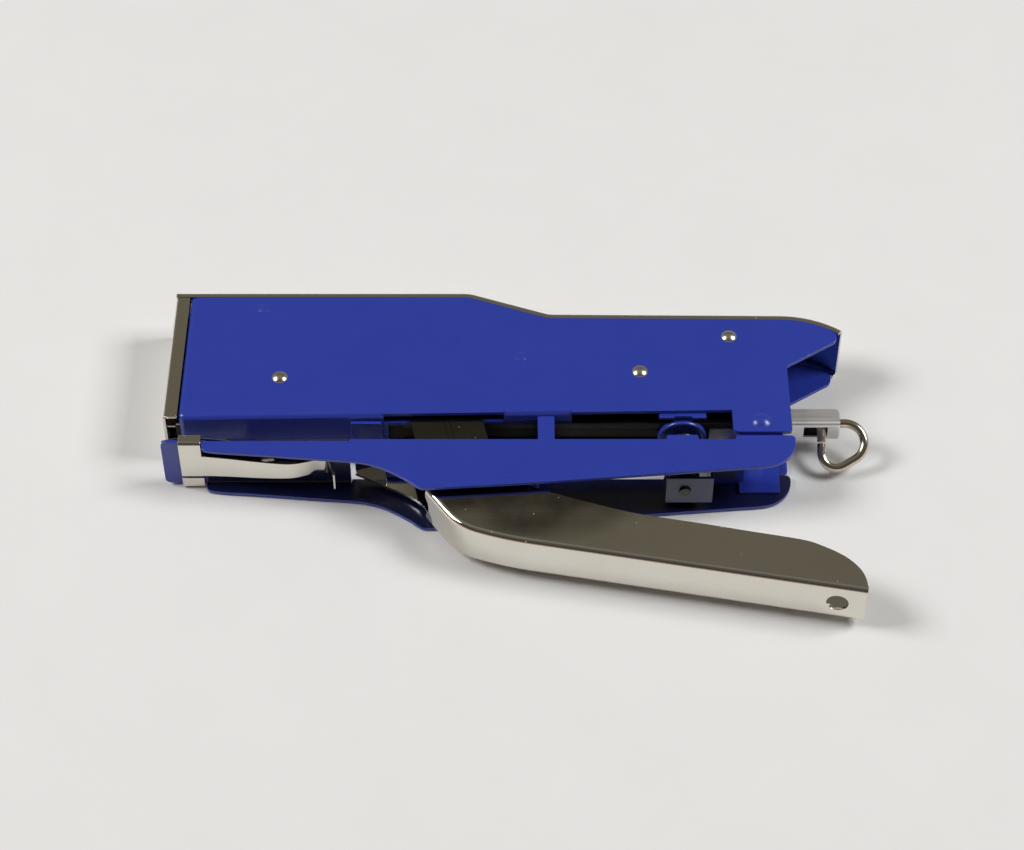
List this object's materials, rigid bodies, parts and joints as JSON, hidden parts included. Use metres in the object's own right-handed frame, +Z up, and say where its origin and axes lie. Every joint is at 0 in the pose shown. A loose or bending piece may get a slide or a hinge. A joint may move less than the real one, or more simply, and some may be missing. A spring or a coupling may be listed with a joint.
{
  "type": "plier stapler",
  "caption": "Hand plier stapler lying on its side: two pressed shells, a hinged arm with a sliding anvil, a squeeze handle, and a pull-out staple rail with a ring.",
  "frame": {"origin": "middle of the object's box, on the surface that it lies on", "axes": "+X from the staple exit to the ring end, +Y from the handle to the top cover, +Z up out of the side that faces away from the table"},
  "size_m": [0.1658, 0.0904, 0.0167],
  "materials": {
    "blue_paint": "gloss",
    "nickel_plate": "polished",
    "satin_steel": "satin",
    "spring_steel": "oiled"
  },
  "bodies": {
    "body": {"left_side_shell": "blue_paint", "right_side_shell": "blue_paint", "top_cover": "nickel_plate", "front_plate": "nickel_plate", "blade_guide": "satin_steel", "staple_magazine": "spring_steel", "staple_strip": "satin_steel", "rail_catch": "satin_steel", "body_rivets": "nickel_plate", "painted_rivets": "blue_paint", "pivot_rivet": "blue_paint", "lap_rivet": "nickel_plate", "rivet_spacers": "satin_steel", "spring_cup": "blue_paint"},
    "arm": {"lower_arm": "blue_paint", "spring_seat": "blue_paint", "spring_guide_pin": "spring_steel", "main_spring": "spring_steel", "detent_tab": "nickel_plate", "handle_pin": "blue_paint"},
    "anvil": {"anvil_clip": "nickel_plate"},
    "handle": {"handle": "nickel_plate"},
    "lever": {"driver_lever": "spring_steel", "driver_return_spring": "spring_steel"},
    "blade": {"driver_blade": "satin_steel"},
    "link": {"link_plates": "nickel_plate", "link_pins": "satin_steel"},
    "rail": {"staple_rail": "satin_steel", "pusher_rod": "satin_steel", "pusher_spring": "spring_steel", "staple_pusher": "satin_steel"},
    "ring": {"pull_ring": "nickel_plate"}
  },
  "joints": [
    {"name": "handle_squeeze", "type": "hinge", "parent": "arm", "child": "handle", "pos_m": [0.0031, -0.0079, 0.0079], "axis": [0, 0, 1], "range_deg": [0, 20], "stiffness_Nm_per_rad": 0.8, "springref_deg": -11.46},
    {"name": "arm_close", "type": "hinge", "parent": "body", "child": "arm", "pos_m": [0.0568, 0.0036, 0.0079], "axis": [0, 0, 1], "range_deg": [-1.95, 0.05]},
    {"name": "lever_swing", "type": "hinge", "parent": "body", "child": "lever", "pos_m": [0.029, 0.019, 0.0079], "axis": [0, 0, 1], "range_deg": [-0.05, 4.3]},
    {"name": "blade_drive", "type": "slide", "parent": "body", "child": "blade", "axis": [0, -1, 0], "range_m": [-0.0001, 0.0083]},
    {"name": "link_swing", "type": "hinge", "parent": "lever", "child": "link", "pos_m": [-0.0199, 0.0197, 0.0079], "axis": [0, 0, 1], "range_deg": [-3.8, 0.05]},
    {"name": "anvil_slide", "type": "slide", "parent": "arm", "child": "anvil", "axis": [-1, 0, 0], "range_m": [0, 0.0042]},
    {"name": "rail_slide", "type": "slide", "parent": "body", "child": "rail", "axis": [1, 0, 0], "range_m": [0, 0.1]},
    {"name": "ring_swing", "type": "hinge", "parent": "rail", "child": "ring", "pos_m": [0.0717, 0.0069, 0.0079], "axis": [1, 0, 0], "range_deg": [-66, 0]}
  ],
  "couplings": [
    {"joint": "arm_close", "follows": "handle_squeeze", "ratio": -0.095},
    {"joint": "lever_swing", "follows": "handle_squeeze", "ratio": 0.2095},
    {"joint": "link_swing", "follows": "handle_squeeze", "ratio": -0.1858},
    {"joint": "blade_drive", "follows": "handle_squeeze", "m_per_rad": 0.02318}
  ]
}
